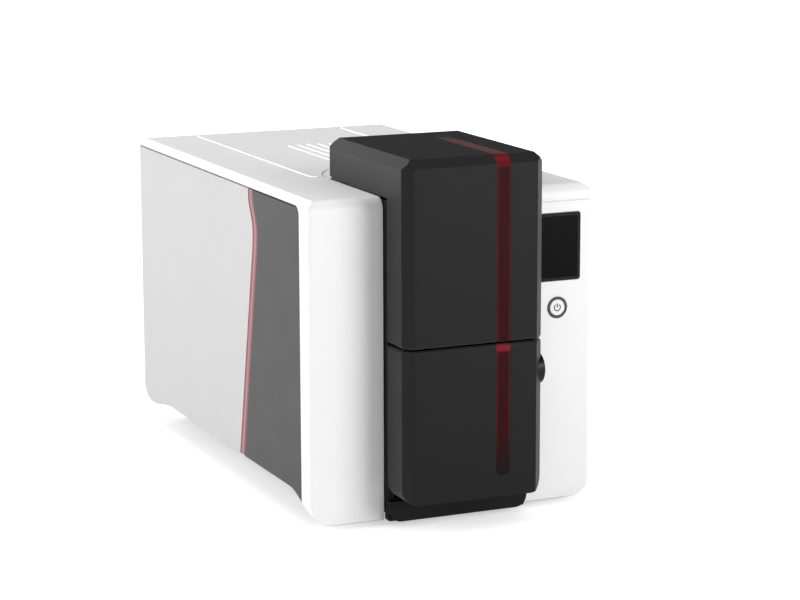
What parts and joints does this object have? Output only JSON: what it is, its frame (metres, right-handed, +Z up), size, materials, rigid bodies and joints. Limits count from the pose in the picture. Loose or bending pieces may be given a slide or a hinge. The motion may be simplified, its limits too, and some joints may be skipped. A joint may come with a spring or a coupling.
{
  "type": "id card printer",
  "caption": "Desktop id card printer with a black front card feeder and hopper, a hinged top lid, a touch display and grey side panels.",
  "frame": {"origin": "middle of the printer's footprint, on the surface it stands on", "axes": "+Z up, +Y from the card feeder at the front to the rear panel, +X to the right"},
  "size_m": [0.205, 0.381, 0.247],
  "materials": {
    "white_plastic": "fine moulded texture, satin",
    "light_grey_plastic": "fine moulded texture, satin",
    "dark_grey_plastic": "satin",
    "black_plastic": "fine spark texture, satin",
    "red_translucent": "tinted, glossy",
    "red_pinstripe": "glossy double line",
    "display_black": "dark touch window",
    "grey_plastic": "moulded",
    "rubber": "ground rubber",
    "steel": "rolled sheet and turned shafts",
    "gear_plastic": "moulded acetal",
    "brass": "cut gear",
    "aluminium": "diecast",
    "circuit_board": "solder mask",
    "ribbon": "thin dye film"
  },
  "bodies": {
    "housing": {"outer_shell": "white_plastic", "base_tray": "dark_grey_plastic", "rubber_feet": "rubber", "left_side_panel": "light_grey_plastic", "right_side_panel": "light_grey_plastic", "left_accent_panel": "dark_grey_plastic", "right_accent_panel": "dark_grey_plastic", "left_pinstripe": "red_pinstripe", "right_pinstripe": "red_pinstripe", "rear_panel": "light_grey_plastic", "rear_screws": "steel", "lid_hinge_pins": "steel", "bay_frame": "black_plastic", "hood_hinge_pin": "steel", "card_magazine": "grey_plastic", "hopper_tray": "black_plastic", "door_hinge_pins": "steel", "display_bezel": "display_black", "display_glass": "display_black", "display_module": "aluminium", "control_board": "circuit_board", "power_ring": "dark_grey_plastic", "left_chassis_plate": "steel", "right_chassis_plate": "steel", "chassis_bars": "steel", "card_guide": "grey_plastic", "drive_belt": "rubber", "drive_motor": "aluminium", "ribbon_cassette": "light_grey_plastic", "ribbon_film": "ribbon", "main_board": "circuit_board", "fan_housing": "black_plastic", "power_socket": "black_plastic", "usb_socket": "steel", "network_socket": "steel", "reject_bezel": "black_plastic"},
    "lid": {"top_lid": "white_plastic", "head_bracket": "steel", "print_head": "aluminium"},
    "hood": {"feeder_hood": "black_plastic", "feeder_stripe": "red_translucent"},
    "door": {"hopper_door": "black_plastic", "hopper_stripe": "red_translucent"},
    "release": {"hopper_release": "black_plastic"},
    "power_key": {"power_button": "white_plastic"},
    "weight": {"card_weight": "grey_plastic"},
    "platen": {"platen_roller": "rubber", "platen_pulley": "gear_plastic", "drive_gear": "gear_plastic"},
    "entry": {"entry_roller": "rubber", "entry_pulley": "gear_plastic"},
    "exit": {"exit_roller": "rubber", "exit_pulley": "gear_plastic"},
    "pinion": {"motor_pinion": "brass"},
    "entry_pinch": {"entry_pinch_roller": "rubber"},
    "exit_pinch": {"exit_pinch_roller": "rubber"},
    "pick": {"pick_roller": "rubber"},
    "supply": {"supply_spool": "ribbon"},
    "takeup": {"takeup_spool": "ribbon"},
    "fan": {"fan_rotor": "black_plastic"}
  },
  "joints": [
    {"name": "lid_hinge", "type": "hinge", "parent": "housing", "child": "lid", "pos_m": [0, 0.1815, 0.211], "axis": [-1, 0, 0], "range_deg": [0, 75]},
    {"name": "hood_hinge", "type": "hinge", "parent": "housing", "child": "hood", "pos_m": [0, -0.0725, 0.228], "axis": [-1, 0, 0], "range_deg": [0, 65]},
    {"name": "door_hinge", "type": "hinge", "parent": "housing", "child": "door", "pos_m": [0, -0.1765, 0.028], "axis": [1, 0, 0], "range_deg": [0, 80]},
    {"name": "release_press", "type": "slide", "parent": "door", "child": "release", "axis": [-1, 0, 0], "range_m": [0, 0.0015], "stiffness_N_per_m": 600},
    {"name": "power_press", "type": "slide", "parent": "housing", "child": "power_key", "axis": [0, 1, 0], "range_m": [0, 0.0012], "stiffness_N_per_m": 600},
    {"name": "weight_slide", "type": "slide", "parent": "housing", "child": "weight", "axis": [0, 0, 1], "range_m": [0, 0.06]},
    {"name": "platen_spin", "type": "hinge", "parent": "housing", "child": "platen", "pos_m": [0, 0.0315, 0.125], "axis": [1, 0, 0], "continuous": true},
    {"name": "entry_spin", "type": "hinge", "parent": "housing", "child": "entry", "pos_m": [0, -0.0445, 0.125], "axis": [1, 0, 0], "continuous": true},
    {"name": "exit_spin", "type": "hinge", "parent": "housing", "child": "exit", "pos_m": [0, 0.1075, 0.125], "axis": [1, 0, 0], "continuous": true},
    {"name": "pinion_spin", "type": "hinge", "parent": "housing", "child": "pinion", "pos_m": [0, 0.0315, 0.0947], "axis": [1, 0, 0], "continuous": true},
    {"name": "entry_pinch_spin", "type": "hinge", "parent": "housing", "child": "entry_pinch", "pos_m": [0, -0.0445, 0.1378], "axis": [1, 0, 0], "continuous": true},
    {"name": "exit_pinch_spin", "type": "hinge", "parent": "housing", "child": "exit_pinch", "pos_m": [0, 0.1075, 0.1378], "axis": [1, 0, 0], "continuous": true},
    {"name": "pick_spin", "type": "hinge", "parent": "housing", "child": "pick", "pos_m": [0, -0.1365, 0.126], "axis": [1, 0, 0], "continuous": true},
    {"name": "supply_spin", "type": "hinge", "parent": "housing", "child": "supply", "pos_m": [0, 0.0815, 0.164], "axis": [1, 0, 0], "continuous": true},
    {"name": "takeup_spin", "type": "hinge", "parent": "housing", "child": "takeup", "pos_m": [0, -0.0165, 0.164], "axis": [1, 0, 0], "continuous": true},
    {"name": "fan_spin", "type": "hinge", "parent": "housing", "child": "fan", "pos_m": [-0.056, -0.1565, 0.104], "axis": [0, 1, 0], "continuous": true}
  ],
  "couplings": [
    {"joint": "entry_spin", "follows": "platen_spin", "ratio": 1},
    {"joint": "exit_spin", "follows": "platen_spin", "ratio": 1},
    {"joint": "pinion_spin", "follows": "platen_spin", "ratio": -4},
    {"joint": "entry_pinch_spin", "follows": "platen_spin", "ratio": -1.4},
    {"joint": "exit_pinch_spin", "follows": "platen_spin", "ratio": -1.4},
    {"joint": "takeup_spin", "follows": "supply_spin", "ratio": 1.5}
  ]
}
